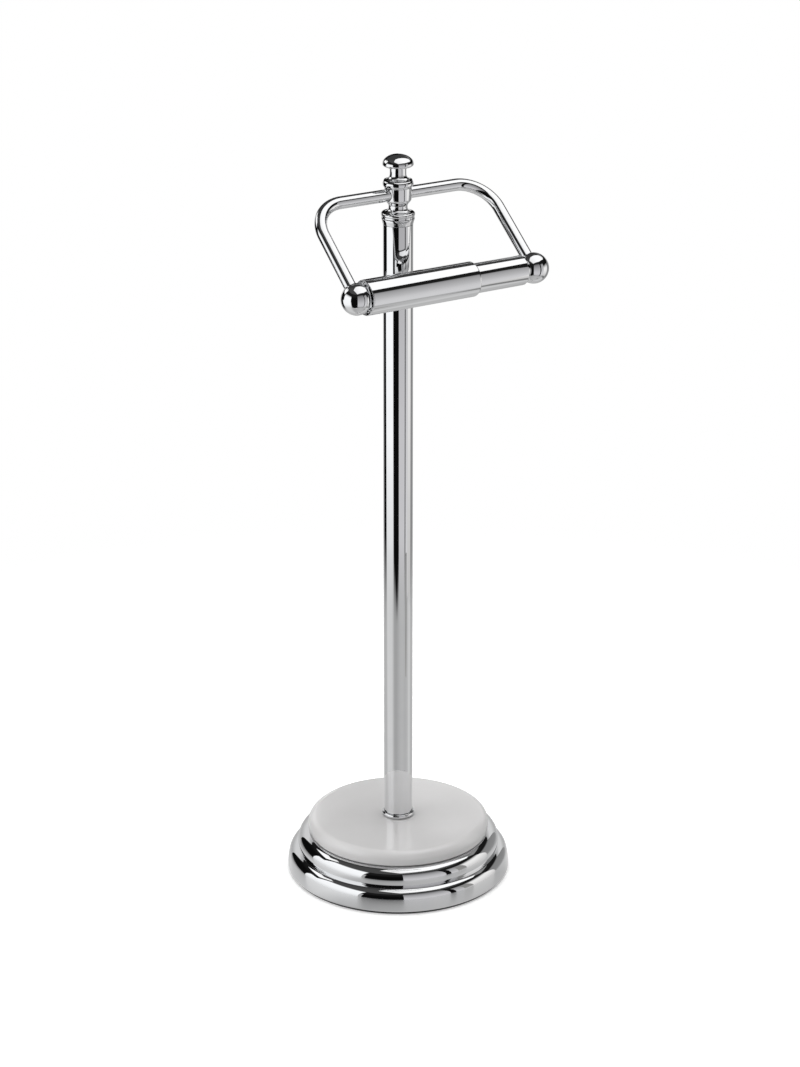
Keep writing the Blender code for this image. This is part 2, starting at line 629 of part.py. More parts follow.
def roller_outer_sleeve(frame):
    """Wide sleeve: its lip reaches round the left ball, and its mouth is rolled in on the narrow one."""
    lip_end = -BALL_FACE - BALL_OVERLAP
    lip_centre = (OUTER_SLEEVE_RADIUS - OUTER_SLEEVE_WALL / 2, lip_end + LIP_ROUND)
    mouth_radius = INNER_SLEEVE_RADIUS + GAP
    mouth_crown = mouth_radius + OUTER_SLEEVE_WALL / 2
    roll_start = MOUTH_PLACE - MOUTH_ROLL
    outline = [(mouth_radius, MOUTH_PLACE)]
    outline += arc((mouth_crown, roll_start), OUTER_SLEEVE_RADIUS - mouth_crown, MOUTH_ROLL, 90, 0,
                   SHORT_ARC_POINTS)
    outline += arc(lip_centre, OUTER_SLEEVE_WALL / 2, LIP_ROUND, 0, -180, ARC_POINTS)
    outline += [(OUTER_BORE_RADIUS, roll_start), (mouth_radius, MOUTH_PLACE - OUTER_SLEEVE_WALL)]
    return turned("roller_outer_sleeve", outline, True, COLUMN_STEPS, chrome(), parent=frame)


def roller_inner_sleeve(frame):
    """Narrow sleeve that slides in the wide one; a flange at its tail stops at the rolled mouth."""
    flange_radius = OUTER_BORE_RADIUS - GAP
    flange_top = INNER_TAIL + STOP_FLANGE_WIDTH
    edge_centre = (INNER_SLEEVE_RADIUS - SLEEVE_EDGE_ROUND, BALL_FACE - SLEEVE_EDGE_ROUND)
    outline = [(INNER_BORE_RADIUS, BALL_FACE)]
    outline += arc(edge_centre, SLEEVE_EDGE_ROUND, SLEEVE_EDGE_ROUND, 90, 0, SHORT_ARC_POINTS)
    outline += [(INNER_SLEEVE_RADIUS, flange_top), (flange_radius, flange_top), (flange_radius, INNER_TAIL)]
    outline += [(INNER_BORE_RADIUS, INNER_TAIL)]
    return turned("roller_inner_sleeve", outline, True, COLUMN_STEPS, chrome(), parent=frame)


def roller_cap(name, plug_radius, side, frame):
    """Plug in a sleeve's end, with the pin that sits in the ball and a seat for the spring."""
    seat_start = -PLUG_LENGTH
    seat_end = seat_start - SPRING_SEAT_LENGTH
    outline = [(0, PIN_LENGTH), (PIN_RADIUS - PIN_CHAMFER, PIN_LENGTH)]
    outline += [(PIN_RADIUS, PIN_LENGTH - PIN_CHAMFER), (PIN_RADIUS, 0)]
    outline += [(plug_radius, 0), (plug_radius, seat_start)]
    outline += [(SPRING_SEAT_RADIUS, seat_start), (SPRING_SEAT_RADIUS, seat_end + SPRING_SEAT_CHAMFER)]
    outline += [(SPRING_SEAT_RADIUS - SPRING_SEAT_CHAMFER, seat_end), (0, seat_end)]
    cap = turned(name, outline, False, BORE_STEPS, chrome(), (0, 0, side * CAP_FACE), frame)
    if side < 0:
        cap.rotation_euler = (math.pi, 0, 0)
    return cap


def spring_route():
    """Helix between the two caps: an almost closed turn at each end and an even pitch between."""
    end_place = CAP_FACE - PLUG_LENGTH - GAP - SPRING_WIRE_RADIUS
    end_pitch = 2 * SPRING_WIRE_RADIUS + SPRING_END_GAP
    open_pitch = (2 * end_place - 2 * end_pitch) / (SPRING_CURLS - 2)
    route = []
    for i in range(SPRING_CURLS * CURL_POINTS + 1):
        curls = i / CURL_POINTS
        ends = min(curls, 1) + max(curls - (SPRING_CURLS - 1), 0)
        place = end_pitch * ends + open_pitch * (curls - ends) - end_place
        angle = 2 * math.pi * curls
        route.append(Vector((SPRING_RADIUS * math.cos(angle), SPRING_RADIUS * math.sin(angle), place)))
    return route


def least_self_gap(route, wire_radius):
    """Smallest space between two stretches of a coil that lie more than half a curl apart."""
    half_curl = CURL_POINTS // 2
    distances = [(a - b).length for i, a in enumerate(route) for b in route[i + half_curl + 1:]]
    return min(distances) - 2 * wire_radius


def roller_spring(frame):
    route = spring_route()
    steel = principled("spring_steel", (0.48, 0.48, 0.49), 1.0, 0.3)
    curve = poly_curve("roller_spring", route, SPRING_WIRE_RADIUS, SPRING_SIDE_RESOLUTION)
    print(f"roller_spring least gap to itself: {least_self_gap(route, SPRING_WIRE_RADIUS):.5f} m")
    return add_object("roller_spring", curve, steel, parent=frame)


def roller():
    """Two telescoping halves on the axis between the balls, pushed apart by the spring."""
    outer_frame = roller_frame("roller_outer_frame", None)
    inner_frame = roller_frame("roller_inner_frame", outer_frame)
    roller_outer_sleeve(outer_frame)
    roller_cap("roller_outer_cap", OUTER_BORE_RADIUS - GAP, -1, outer_frame)
    roller_spring(outer_frame)
    roller_inner_sleeve(inner_frame)
    roller_cap("roller_inner_cap", INNER_BORE_RADIUS - GAP, 1, inner_frame)


def build():
    clear_scene()
    new_collection(COLLECTION_NAME)
    new_collection(CUTTER_COLLECTION_NAME)
    base_cover()
    foot_pad()
    base_weight()
    base_disc()
    disc_gasket()
    base_bolt()
    column()
    column_collar()
    finial_stud()
    finial_body()
    finial_knob()
    hoop_wire()
    ball("ball_left", -1)
    ball("ball_right", 1)
    roller()


build()
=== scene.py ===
import math

import bmesh
import bpy
from mathutils import Matrix, Vector


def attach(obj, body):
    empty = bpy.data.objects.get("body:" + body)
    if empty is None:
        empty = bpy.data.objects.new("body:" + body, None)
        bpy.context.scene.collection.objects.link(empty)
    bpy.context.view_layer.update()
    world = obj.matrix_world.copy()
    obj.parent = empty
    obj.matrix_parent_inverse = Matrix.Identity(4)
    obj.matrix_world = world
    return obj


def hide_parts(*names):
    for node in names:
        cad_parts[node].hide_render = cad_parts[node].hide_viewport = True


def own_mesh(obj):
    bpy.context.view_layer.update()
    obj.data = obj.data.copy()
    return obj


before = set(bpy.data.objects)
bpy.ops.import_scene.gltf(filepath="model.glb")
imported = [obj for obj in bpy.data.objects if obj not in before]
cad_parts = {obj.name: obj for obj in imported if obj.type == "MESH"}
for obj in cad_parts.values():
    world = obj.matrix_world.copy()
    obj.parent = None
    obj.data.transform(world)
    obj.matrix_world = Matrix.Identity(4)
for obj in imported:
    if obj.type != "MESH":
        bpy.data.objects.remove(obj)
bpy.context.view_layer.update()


# Base cover
# A shell spun from sheet steel into two bulging steps with a crease between them, then polished and
# chrome plated. It is open underneath and is held down by the bolt in its middle.
def arc(centre, width, rise, start, end, points):
    """Points on an ellipse about centre, from start to end degrees: 0 is outward and 90 is up."""
    angles = [math.radians(start + (end - start) * i / (points - 1)) for i in range(points)]
    return [(centre[0] + width * math.cos(a), centre[1] + rise * math.sin(a)) for a in angles]


def shaded(name, mesh, crease_degrees):
    """Put a finished mesh in the scene, smooth but for the edges sharper than the crease."""
    mesh.shade_smooth()
    mesh.set_sharp_from_angle(angle=math.radians(crease_degrees))
    piece = bpy.data.objects.new(name, mesh)
    bpy.context.scene.collection.objects.link(piece)
    return piece


def turned(name, outline, facets, closed=False, crease_degrees=28, place=None):
    """A piece turned about Z from (radius, height) points; closed joins the last one to the first."""
    angles = [math.tau * i / facets for i in range(facets)]
    shape = bmesh.new()
    rings = []
    for radius, height in outline:
        if radius == 0:
            rings.append([shape.verts.new((0, 0, height))] * facets)
        else:
            spots = [(radius * math.cos(a), radius * math.sin(a), height) for a in angles]
            rings.append([shape.verts.new(spot) for spot in spots])
    pairs = list(zip(rings, rings[1:]))
    if closed:
        pairs.append((rings[-1], rings[0]))
    for upper, lower in pairs:
        for i in range(facets):
            corners = [upper[i], lower[i], lower[(i + 1) % facets], upper[(i + 1) % facets]]
            shape.faces.new(list(dict.fromkeys(corners)))
    bmesh.ops.recalc_face_normals(shape, faces=shape.faces)
    if place:
        bmesh.ops.transform(shape, matrix=place, verts=shape.verts)
    mesh = bpy.data.meshes.new(name)
    shape.to_mesh(mesh)
    shape.free()
    return shaded(name, mesh, crease_degrees)


def finish_piece(piece, material, slot, body, *nodes):
    """Dress a piece, let it ride on its body and stand for its nodes."""
    piece.data.materials.clear()
    piece.data.materials.append(material)
    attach(piece, body)
    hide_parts(*nodes)


def plain_finish(name, settings):
    """A finish with these settings on its shader, before anything varies it."""
    material = bpy.data.materials.new(name)
    material.use_nodes = True
    for label, value in settings.items():
        material.node_tree.nodes["Principled BSDF"].inputs[label].default_value = value
    return material


def grain(material, scale, detail, fineness=0.5):
    """A noise fixed to the piece, as a level from 0 to 1."""
    nodes, links = material.node_tree.nodes, material.node_tree.links
    place = nodes.new("ShaderNodeTexCoord")
    noise = nodes.new("ShaderNodeTexNoise")
    noise.inputs["Scale"].default_value = scale
    noise.inputs["Detail"].default_value = detail
    noise.inputs["Roughness"].default_value = fineness
    links.new(place.outputs["Object"], noise.inputs["Vector"])
    return noise.outputs["Fac"]


def vary(material, level, tints, polish):
    """Let colour and roughness follow a level: two (level, colour) pairs and two (level, roughness) pairs."""
    nodes, links = material.node_tree.nodes, material.node_tree.links
    shader = nodes["Principled BSDF"]
    tint = nodes.new("ShaderNodeValToRGB")
    for stop, (position, colour) in zip(tint.color_ramp.elements, tints):
        stop.position = position
        stop.color = (*colour, 1.0)
    links.new(level, tint.inputs["Fac"])
    links.new(tint.outputs["Color"], shader.inputs["Base Color"])
    dullness = nodes.new("ShaderNodeMapRange")
    for end, (position, roughness) in zip(("Min", "Max"), polish):
        dullness.inputs["From " + end].default_value = position
        dullness.inputs["To " + end].default_value = roughness
    links.new(level, dullness.inputs["Value"])
    links.new(dullness.outputs["Result"], shader.inputs["Roughness"])


def chrome_plate(name, roughest):
    """Polished chrome: nearly even, with faint clouds in its tint and in its polish."""
    material = plain_finish(name, {"Metallic": 1.0})
    vary(material, grain(material, scale=70.0, detail=5.0),
         tints=((0.3, (0.785, 0.790, 0.800)), (0.7, (0.810, 0.813, 0.818))),
         polish=((0.35, 0.015), (0.7, roughest)))
    return material


chrome = chrome_plate("chrome_plate", roughest=0.035)
cover_radius = 0.0800
cover_wall = 0.0010
cover_top = 0.0300
cover_edge_height = 0.0022
wall_radius = 0.0425
shoulder_radius = 0.0078
shoulder_degrees = 12.5
upper_radius = 0.0726
upper_bulge = 0.0089
upper_rise = 0.0088
crease_radius = 0.0722
crease_wall = 0.0005
bolt_hole_radius = 0.0043
shoulder_angle = math.radians(shoulder_degrees)
shoulder_reach = wall_radius - shoulder_radius
wall_centre = (cover_radius - wall_radius, cover_edge_height)
shoulder_centre = (wall_centre[0] + shoulder_reach * math.cos(shoulder_angle),
                   wall_centre[1] + shoulder_reach * math.sin(shoulder_angle))
crease_angle = math.acos((crease_radius - shoulder_centre[0]) / shoulder_radius)
crease_top = shoulder_centre[1] + shoulder_radius * math.sin(crease_angle) + crease_wall
upper_centre = (upper_radius - upper_bulge, cover_top - upper_rise)
tuck_angle = math.acos((crease_radius - upper_centre[0]) / upper_bulge)
tuck_rise = (upper_centre[1] - crease_top) / math.sin(tuck_angle)
cover_outline = [(bolt_hole_radius, cover_top)]
cover_outline += arc(upper_centre, upper_bulge, upper_rise, 90, 0, points=26)
cover_outline += arc(upper_centre, upper_bulge, tuck_rise, 0, -math.degrees(tuck_angle), points=12)[1:]
cover_outline += arc(shoulder_centre, shoulder_radius, shoulder_radius, math.degrees(crease_angle),
                     shoulder_degrees, points=26)
cover_outline += arc(wall_centre, wall_radius, wall_radius, shoulder_degrees, 0, points=10)[1:]
cover = turned("base_cover_shell", cover_outline, facets=180)
sheet = cover.modifiers.new("sheet", "SOLIDIFY")
sheet.thickness = cover_wall
sheet.offset = -1.0
sheet.use_even_offset = True
finish_piece(cover, chrome, "chrome", "stand", "base_cover")


# White disc and its foam gasket
# A pressed and glazed disc with a soft rounded rim, which lies on the cover's flat top. A thin foam
# ring in a recess under it takes up the glaze's unevenness.
disc_radius = 0.0651
disc_bottom = 0.0303
disc_top = 0.0404
disc_edge_round = 0.0060
disc_foot_round = 0.0010
recess_top = 0.0315
rim_land_radius = 0.0571
hub_land_radius = 0.0103
edge_centre = (disc_radius - disc_edge_round, disc_top - disc_edge_round)
foot_centre = (disc_radius - disc_foot_round, disc_bottom + disc_foot_round)
disc_outline = [(bolt_hole_radius, disc_top), (disc_radius / 2, disc_top)]
disc_outline += arc(edge_centre, disc_edge_round, disc_edge_round, 90, 0, points=26)
disc_outline += arc(foot_centre, disc_foot_round, disc_foot_round, 0, -90, points=8)
disc_outline += [(rim_land_radius, disc_bottom), (rim_land_radius, recess_top)]
disc_outline += [(hub_land_radius, recess_top), (hub_land_radius, disc_bottom)]
disc_outline += [(bolt_hole_radius, disc_bottom)]


def add_relief(material, height, strength, depth):
    """Fine bumps in a finish, which follow a noise."""
    nodes, links = material.node_tree.nodes, material.node_tree.links
    bump = nodes.new("ShaderNodeBump")
    bump.inputs["Strength"].default_value = strength
    bump.inputs["Distance"].default_value = depth
    links.new(height, bump.inputs["Height"])
    links.new(bump.outputs["Normal"], nodes["Principled BSDF"].inputs["Normal"])


glaze = plain_finish("white_glaze", {"Specular IOR Level": 0.5, "Coat Weight": 0.6, "Coat Roughness": 0.04})
vary(glaze, grain(glaze, scale=28.0, detail=6.0),
     tints=((0.3, (0.592, 0.586, 0.585)), (0.7, (0.622, 0.616, 0.616))),
     polish=((0.0, 0.16), (1.0, 0.26)))
orange_peel = grain(glaze, scale=420.0, detail=2.0)
add_relief(glaze, orange_peel, strength=0.35, depth=0.00002)
disc = turned("base_disc_glazed", disc_outline, facets=180, closed=True)
finish_piece(disc, glaze, "white_glaze", "stand", "base_disc")


def mottled(name, dark, light, metallic, roughness, scale, relief_depth):
    """A matt or satin finish whose colour and relief vary in fine grains."""
    material = plain_finish(name, {"Metallic": metallic})
    grains = grain(material, scale, detail=8.0, fineness=0.65)
    vary(material, grains, tints=((0.35, dark), (0.65, light)),
         polish=((0.0, roughness[0]), (1.0, roughness[1])))
    add_relief(material, grains, strength=0.6, depth=relief_depth)
    return material


foam = mottled("gasket_foam", dark=(0.70, 0.70, 0.67), light=(0.82, 0.82, 0.80), metallic=0.0,
               roughness=(0.8, 0.95), scale=1500.0, relief_depth=0.00008)
gasket_gap = 0.0003
gasket_top = 0.0312
gasket_radius = rim_land_radius - gasket_gap
gasket_hole_radius = hub_land_radius + gasket_gap
gasket_outline = [(gasket_radius, gasket_top), (gasket_radius, disc_bottom)]
gasket_outline += [(gasket_hole_radius, disc_bottom), (gasket_hole_radius, gasket_top)]
gasket = turned("disc_gasket_ring", gasket_outline, facets=96, closed=True)
finish_piece(gasket, foam, "foam", "stand", "disc_gasket")


# Weight and foot pad
# The weight is a sand-cast iron disc with a boss that carries the cover's flat top. A sheet of black
# rubber is glued under it; its edge shows as a thin dark line under the cover.
iron = mottled("cast_iron", dark=(0.055, 0.055, 0.058), light=(0.13, 0.125, 0.12), metallic=0.4,
               roughness=(0.55, 0.8), scale=420.0, relief_depth=0.0003)
weight_bottom = 0.0022
weight_radius = 0.0690
weight_shelf = 0.0158
weight_edge = 0.0015
boss_radius = 0.0250
boss_fillet = 0.0040
boss_top = 0.0287
counterbore_radius = 0.0110
counterbore_ceiling = 0.0142
boss_foot = (boss_radius + boss_fillet, weight_shelf + boss_fillet)
shelf_edge = (weight_radius - weight_edge, weight_shelf - weight_edge)
weight_outline = [(boss_radius, boss_top)]
weight_outline += arc(boss_foot, boss_fillet, boss_fillet, 180, 270, points=10)
weight_outline += arc(shelf_edge, weight_edge, weight_edge, 90, 0, points=8)
weight_outline += [(weight_radius, weight_bottom), (counterbore_radius, weight_bottom)]
weight_outline += [(counterbore_radius, counterbore_ceiling), (bolt_hole_radius, counterbore_ceiling)]
weight_outline += [(bolt_hole_radius, boss_top)]
weight = turned("base_weight_casting", weight_outline, facets=120, closed=True)
finish_piece(weight, iron, "cast_iron", "stand", "base_weight")

rubber = mottled("black_rubber", dark=(0.014, 0.014, 0.015), light=(0.030, 0.030, 0.031), metallic=0.0,
                 roughness=(0.6, 0.8), scale=900.0, relief_depth=0.00006)
pad_radius = 0.0784
pad_hole_radius = 0.0130
pad_top = 0.0019
pad_edge = 0.0003
pad_upper_edge = (pad_radius - pad_edge, pad_top - pad_edge)
pad_lower_edge = (pad_radius - pad_edge, pad_edge)
pad_outline = arc(pad_upper_edge, pad_edge, pad_edge, 90, 0, points=4)
pad_outline += arc(pad_lower_edge, pad_edge, pad_edge, 0, -90, points=4)
pad_outline += [(pad_hole_radius, 0), (pad_hole_radius, pad_top)]
pad = turned("foot_pad_rubber", pad_outline, facets=180, closed=True)
finish_piece(pad, rubber, "black_rubber", "stand", "foot_pad")


# Bolt and washers
# A zinc plated hexagon bolt comes up through a plain and a split lock washer in the weight's
# counterbore, and pulls weight, cover, disc and column together.
zinc = mottled("zinc_plate", dark=(0.40, 0.41, 0.43), light=(0.60, 0.61, 0.62), metallic=1.0,
               roughness=(0.28, 0.42), scale=650.0, relief_depth=0.00001)


def zinc_plated(*names):
    """Give the frame's own pieces the zinc finish."""
    for name in names:
        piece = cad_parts[name]
        piece.data.materials.clear()
        piece.data.materials.append(zinc)


zinc_plated("base_bolt", "bolt_washer", "lock_washer")


# Column
# A chrome plated steel tube stands on the disc in a half-round foot ring. Threaded plugs are pressed
# into its ends: the bolt screws into the lower one and the finial's stud into the upper one.
tube_radius = 0.0102
tube_bore = 0.0092
tube_bottom = 0.0407
tube_top = 0.4775
tube_edge = 0.0002
tube_upper_edge = (tube_radius - tube_edge, tube_top - tube_edge)
tube_lower_edge = (tube_radius - tube_edge, tube_bottom + tube_edge)
tube_outline = arc(tube_upper_edge, tube_edge, tube_edge, 90, 0, points=4)
tube_outline += arc(tube_lower_edge, tube_edge, tube_edge, 0, -90, points=4)
tube_outline += [(tube_bore, tube_bottom), (tube_bore, tube_top)]
tube = turned("column_tube_plated", tube_outline, facets=256, closed=True)
finish_piece(tube, chrome, "chrome", "stand", "column_tube")

foot_ring_gap = 0.0003
foot_ring_bulge = 0.00125
foot_ring_height = 0.0030
foot_ring_middle = (tube_radius + foot_ring_gap, tube_bottom + foot_ring_height / 2)
foot_ring_outline = arc(foot_ring_middle, foot_ring_bulge, foot_ring_height / 2, 90, -90, points=24)
foot_ring = turned("column_foot_ring_turned", foot_ring_outline, facets=128, closed=True)
finish_piece(foot_ring, chrome, "chrome", "stand", "column_foot_ring")
zinc_plated("column_lower_insert", "column_upper_insert", "finial_stud")


# Collar
# A short ring, turned with a slight widening towards its top and chrome plated. It closes the tube's
# upper end, and its spigot locates it in the tube.
collar_bottom = 0.4778
collar_top = 0.4820
collar_foot_radius = 0.0103
collar_wide_radius = 0.0113
collar_edge = 0.0005
spigot_bottom = 0.4753
spigot_radius = 0.0089
stud_hole_radius = 0.0033
collar_rim = (collar_wide_radius - collar_edge, collar_top - collar_edge)
collar_outline = [(stud_hole_radius, collar_top)]
collar_outline += arc(collar_rim, collar_edge, collar_edge, 90, 0, points=10)
collar_outline += [((collar_foot_radius + collar_wide_radius) / 2, (collar_bottom + collar_top) / 2)]
collar_outline += [(collar_foot_radius, collar_bottom), (spigot_radius, collar_bottom)]
collar_outline += [(spigot_radius, spigot_bottom), (stud_hole_radius, spigot_bottom)]
collar = turned("column_collar_turned", collar_outline, facets=128, closed=True)
finish_piece(collar, chrome, "chrome", "stand", "column_collar")


# Finial body
# One turned piece: foot, flange, cove, waist, swelling barrel, groove and bead. The hoop's back run
# passes through the barrel, the stud screws in from below and the knob's spigot from above.
finial_bottom = 0.4823
foot_height = 0.0009
foot_step = 0.00045
flange_radius = 0.01155
flange_height = 0.0028
flange_bulge = 0.0014
flange_half_degrees = 65
cove_height = 0.0032
waist_radius = 0.00645
waist_height = 0.0010
swell_height = 0.0048
barrel_radius = 0.0091
barrel_height = 0.0074
groove = 0.0004
bead_bulge = 0.0017
bead_half_height = 0.0025
bead_top_rise = 0.0022
bead_web = 0.0002
wire_bore_radius = 0.0045
stud_bore_web = 0.0020
spigot_hole_radius = 0.0028
overrun = 0.002
corner_degrees = 34
flange_bottom = finial_bottom + foot_height
flange_middle = flange_bottom + flange_height / 2
waist_bottom = flange_bottom + flange_height + cove_height
barrel_bottom = waist_bottom + waist_height + swell_height
bead_middle = barrel_bottom + barrel_height + groove + bead_half_height
finial_top = bead_middle + bead_top_rise
hoop_height = bead_middle - bead_half_height - bead_web - wire_bore_radius
bead_centre = (barrel_radius - groove, bead_middle)
bead_top_degrees = math.degrees(math.asin(bead_top_rise / bead_half_height))
foot_radius = flange_radius - foot_step
flange_neck = flange_radius - flange_bulge
cove_width = flange_neck - waist_radius
swell_shares = [i / 20 for i in range(21)]
finial_outline = [(0, finial_top)]
finial_outline += arc(bead_centre, bead_bulge, bead_half_height, bead_top_degrees, -90, points=40)
finial_outline += [(barrel_radius, barrel_bottom + barrel_height)]
finial_outline += [(barrel_radius - (barrel_radius - waist_radius) * (1 - math.cos(math.pi * s)) / 2,
                    barrel_bottom - swell_height * s) for s in swell_shares]
finial_outline += arc((flange_neck, waist_bottom), cove_width, cove_height, 180, 270, points=20)
finial_outline += arc((flange_neck, flange_middle), flange_bulge, flange_height / 2, flange_half_degrees,
                      -flange_half_degrees, points=24)
finial_outline += [(foot_radius, flange_bottom), (foot_radius, finial_bottom), (0, finial_bottom)]
finial = turned("finial_body_turned", finial_outline, facets=128, crease_degrees=corner_degrees)


def baked(source):
    """A source object's mesh with its modifiers applied."""
    bpy.context.view_layer.update()
    return bpy.data.meshes.new_from_object(source.evaluated_get(bpy.context.evaluated_depsgraph_get()))


def bored(piece, radius, start, end):
    """Drill a round hole of this radius from start to end."""
    start, end = Vector(start), Vector(end)
    drill_mesh = bpy.data.meshes.new("drill")
    shape = bmesh.new()
    turn = (end - start).to_track_quat("Z", "Y").to_matrix().to_4x4()
    bmesh.ops.create_cone(shape, cap_ends=True, segments=72, radius1=radius, radius2=radius,
                          depth=(end - start).length, matrix=Matrix.Translation((start + end) / 2) @ turn)
    for face in shape.faces:
        face.smooth = len(face.verts) == 4
    shape.to_mesh(drill_mesh)
    shape.free()
    drill = bpy.data.objects.new("drill", drill_mesh)
    bpy.context.scene.collection.objects.link(drill)
    hole = piece.modifiers.new("hole", "BOOLEAN")
    hole.operation = "DIFFERENCE"
    hole.solver = "EXACT"
    hole.object = drill
    cut_mesh = baked(piece)
    piece.modifiers.clear()
    piece.data = cut_mesh
    bpy.data.objects.remove(drill, do_unlink=True)
    cut_mesh.set_sharp_from_angle(angle=math.radians(corner_degrees))


barrel_outside = barrel_radius + overrun
stud_bore_top = hoop_height - wire_bore_radius - stud_bore_web
bored(finial, wire_bore_radius, (-barrel_outside, 0, hoop_height), (barrel_outside, 0, hoop_height))
bored(finial, stud_hole_radius, (0, 0, finial_bottom - overrun), (0, 0, stud_bore_top))
bored(finial, spigot_hole_radius, (0, 0, hoop_height), (0, 0, finial_top + overrun))
finish_piece(finial, chrome, "chrome", "stand", "finial_body")


# Finial knob
# A mushroom head on a flared neck, turned in one piece and chrome plated. Its spigot screws down into
# the body and clamps the hoop.
wire_radius = 0.0042
knob_gap = 0.0003
flare_height = 0.0042
neck_radius = 0.0056
neck_height = 0.0042
head_radius = 0.0106
underside_rise = 0.0023
dome_rise = 0.0065
knob_spigot_radius = 0.0025
knob_spigot_chamfer = 0.0003
knob_bottom = finial_top + knob_gap
flare_radius = bead_centre[0] + bead_bulge * math.cos(math.radians(bead_top_degrees))
neck_bottom = knob_bottom + flare_height
head_height = neck_bottom + neck_height + underside_rise
brim_width = head_radius - neck_radius
flare_width = flare_radius - neck_radius
knob_spigot_end = hoop_height + wire_radius + knob_gap
knob_outline = [(0, head_height + dome_rise)]
knob_outline += arc((0, head_height), head_radius, dome_rise, 90, 0, points=44)[1:]
knob_outline += arc((neck_radius, head_height), brim_width, underside_rise, 0, -90, points=24)[1:]
knob_outline += arc((flare_radius, neck_bottom), flare_width, flare_height, 180, 270, points=20)
knob_outline += [(knob_spigot_radius, knob_bottom)]
knob_outline += [(knob_spigot_radius, knob_spigot_end + knob_spigot_chamfer)]
knob_outline += [(knob_spigot_radius - knob_spigot_chamfer, knob_spigot_end), (0, knob_spigot_end)]
knob = turned("finial_knob_turned", knob_outline, facets=128)
finish_piece(knob, chrome, "chrome", "stand", "finial_knob")


# Hoop
# One steel rod, bent twice and chrome plated: the back run goes through the finial, and the two arms
# slope forward and down to the balls.
hoop_tilt = math.radians(40)
hoop_reach = 0.0756
hoop_back_span = 0.1394
hoop_bend_radius = 0.0240
ball_span = 0.1410
wire_end_short = 0.0035


def on_hoop(across, along):
    """A point in the hoop's tilted plane: across from its middle, and along its arms."""
    return Vector((across, -along * math.cos(hoop_tilt), hoop_height - along * math.sin(hoop_tilt)))


def growing_tree(name, inputs):
    """A node tree with its named inputs of these kinds, its input node, and a piece as its output."""
    tree = bpy.data.node_groups.new(name, "GeometryNodeTree")
    for label, kind in inputs.items():
        tree.interface.new_socket(label, in_out="INPUT", socket_type="NodeSocket" + kind)
    tree.interface.new_socket("Piece", in_out="OUTPUT", socket_type="NodeSocketGeometry")
    return tree, tree.nodes.new("NodeGroupInput")


def sweep_wire(tree, given, curve, material):
    """Finish a tree: sweep a round wire along the curve, close its ends and dress it."""
    nodes, links = tree.nodes, tree.links
    section = nodes.new("GeometryNodeCurvePrimitiveCircle")
    sweep = nodes.new("GeometryNodeCurveToMesh")
    sweep.inputs["Fill Caps"].default_value = True
    real = nodes.new("GeometryNodeRealizeInstances")
    dress = nodes.new("GeometryNodeSetMaterial")
    dress.inputs["Material"].default_value = material
    result = nodes.new("NodeGroupOutput")
    links.new(given.outputs["Wire radius"], section.inputs["Radius"])
    links.new(given.outputs["Sides"], section.inputs["Resolution"])
    links.new(curve, sweep.inputs["Curve"])
    links.new(section.outputs["Curve"], sweep.inputs["Profile Curve"])
    links.new(sweep.outputs["Mesh"], real.inputs["Geometry"])
    links.new(real.outputs["Geometry"], dress.inputs["Geometry"])
    links.new(dress.outputs["Geometry"], result.inputs["Piece"])


def rod_tree(material):
    """Bent rod: rounds the corners of a route and sweeps a rod along it."""
    tree, given = growing_tree("bent_rod", {"Route": "Geometry", "Wire radius": "Float",
                                            "Bend radius": "Float", "Bend points": "Int", "Sides": "Int"})
    bend = tree.nodes.new("GeometryNodeFilletCurve")
    bend.mode = "POLY"
    tree.links.new(given.outputs["Route"], bend.inputs["Curve"])
    tree.links.new(given.outputs["Bend radius"], bend.inputs["Radius"])
    tree.links.new(given.outputs["Bend points"], bend.inputs["Count"])
    sweep_wire(tree, given, bend.outputs["Curve"], material)
    return tree


def grown(name, start_data, tree, sizes):
    """A piece grown by a node tree from its start, with the tree's named sizes, as a plain mesh."""
    grower = bpy.data.objects.new(name + "_grower", start_data)
    bpy.context.scene.collection.objects.link(grower)
    growth = grower.modifiers.new("growth", "NODES")
    growth.node_group = tree
    sockets = {item.name: item.identifier for item in tree.interface.items_tree}
    for label, value in sizes.items():
        growth[sockets[label]] = value
    mesh = baked(grower)
    bpy.data.objects.remove(grower, do_unlink=True)
    mesh.name = name
    return shaded(name, mesh, corner_degrees)


def route_curve(name, points):
    """Straight runs from point to point."""
    curve = bpy.data.curves.new(name, "CURVE")
    curve.dimensions = "3D"
    line = curve.splines.new("POLY")
    line.points.add(len(points) - 1)
    for point, spot in zip(line.points, points):
        point.co = (*spot, 1)
    return curve


hoop_corners = [on_hoop(side * hoop_back_span / 2, 0) for side in (-1, 1)]
ball_centres = [on_hoop(side * ball_span / 2, hoop_reach) for side in (-1, 1)]
arms = [(corner - centre).normalized() for corner, centre in zip(hoop_corners, ball_centres)]
arm_ends = [centre + arm * wire_end_short for centre, arm in zip(ball_centres, arms)]
hoop_route = route_curve("hoop_route", [arm_ends[0], *hoop_corners, arm_ends[1]])
hoop_sizes = {"Wire radius": wire_radius, "Bend radius": hoop_bend_radius, "Bend points": 48, "Sides": 96}
hoop = grown("hoop_rod", hoop_route, rod_tree(chrome), hoop_sizes)
finish_piece(hoop, chrome, "chrome", "stand", "hoop_wire")


